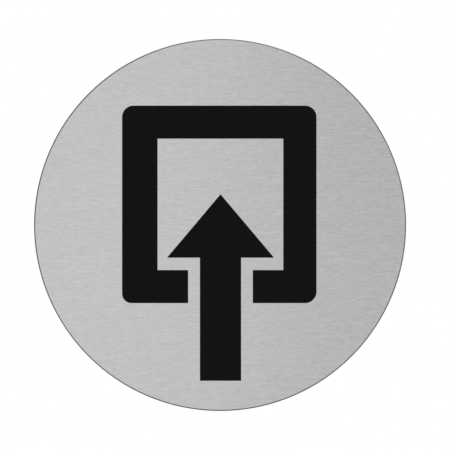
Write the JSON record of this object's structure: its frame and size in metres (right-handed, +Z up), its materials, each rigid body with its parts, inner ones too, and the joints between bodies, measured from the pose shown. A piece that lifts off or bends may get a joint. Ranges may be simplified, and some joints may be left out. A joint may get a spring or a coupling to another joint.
{
  "type": "push plate switch",
  "caption": "Round all-active push plate switch: a brushed disc with a way-in symbol slides into a wall-mounted base on posts and springs.",
  "frame": {"origin": "centre of the wall gasket's rear face, on the disc's axis and in the plane of the wall", "axes": "+Y into the wall, so the disc faces -Y and is pushed towards +Y; +Z up, the way the arrow points; +X to the right seen from the front"},
  "size_m": [0.1142, 0.0455, 0.1142],
  "materials": {
    "brushed_stainless": "straight horizontal brushing, satin",
    "black_enamel": "filled flush, satin black",
    "bonding_tape": "closed-cell foam",
    "cast_alloy": "die cast, bead blasted",
    "black_steel": "black oxide",
    "ground_steel": "ground",
    "zinc_fasteners": "bright zinc plating",
    "zinc_plate": "clear zinc plated sheet",
    "epdm": "matt black",
    "black_moulding": "glass-filled nylon, fine texture",
    "acetal": "natural white, smooth",
    "spring_wire": "drawn stainless wire",
    "switch_moulding": "thermoset, satin",
    "plunger_moulding": "smooth red",
    "terminal_brass": "bright strip",
    "contact_silver": "silver",
    "lever_steel": "stainless strip",
    "blade_copper": "copper alloy strip"
  },
  "bodies": {
    "base": {"base_plate": "zinc_plate", "wall_gasket": "epdm", "weather_ring": "black_moulding", "ring_screws": "zinc_fasteners", "guide_bushes": "acetal", "return_springs": "spring_wire", "switch_bracket": "zinc_plate", "bracket_screws": "zinc_fasteners", "bracket_nuts": "zinc_fasteners", "switch_screws": "zinc_fasteners", "switch_nuts": "zinc_fasteners", "switch_case": "switch_moulding", "switch_cover": "switch_moulding", "lever_pin": "ground_steel", "terminal_common": "terminal_brass", "terminal_open": "terminal_brass", "terminal_closed": "terminal_brass", "fixed_contacts": "contact_silver", "blade_pin": "ground_steel"},
    "push_plate": {"face_carrier": "cast_alloy", "face_disc": "brushed_stainless", "symbol_frame": "black_enamel", "symbol_arrow": "black_enamel", "face_tape": "bonding_tape", "grub_screws": "black_steel", "slider_plate": "cast_alloy", "guide_posts": "ground_steel", "post_screws": "zinc_fasteners", "post_washers": "zinc_fasteners", "retaining_clips": "black_steel", "striker_screw": "zinc_fasteners", "striker_nut": "zinc_fasteners"},
    "lever": {"switch_lever": "lever_steel"},
    "plunger": {"switch_plunger": "plunger_moulding"},
    "blade": {"snap_blade": "blade_copper", "moving_contact": "contact_silver"}
  },
  "joints": [
    {"name": "plate_push", "type": "slide", "parent": "base", "child": "push_plate", "axis": [0, 1, 0], "range_m": [0, 0.003], "stiffness_N_per_m": 2310, "springref_m": -0.003, "deforming": ["return_springs"]},
    {"name": "lever_turn", "type": "hinge", "parent": "base", "child": "lever", "pos_m": [0, -0.0055, -0.016], "axis": [-1, 0, 0], "range_deg": [0, 10.75]},
    {"name": "plunger_slide", "type": "slide", "parent": "base", "child": "plunger", "axis": [0, 1, 0], "range_m": [0, 0.0015]},
    {"name": "blade_turn", "type": "hinge", "parent": "base", "child": "blade", "pos_m": [0, 0.003, 0.003], "axis": [1, 0, 0], "range_deg": [0, 5.25]}
  ],
  "couplings": [
    {"joint": "lever_turn", "follows": "plate_push", "rad_per_m": 62.5},
    {"joint": "plunger_slide", "follows": "plate_push", "ratio": 0.5},
    {"joint": "blade_turn", "follows": "plate_push", "rad_per_m": 30.303}
  ]
}
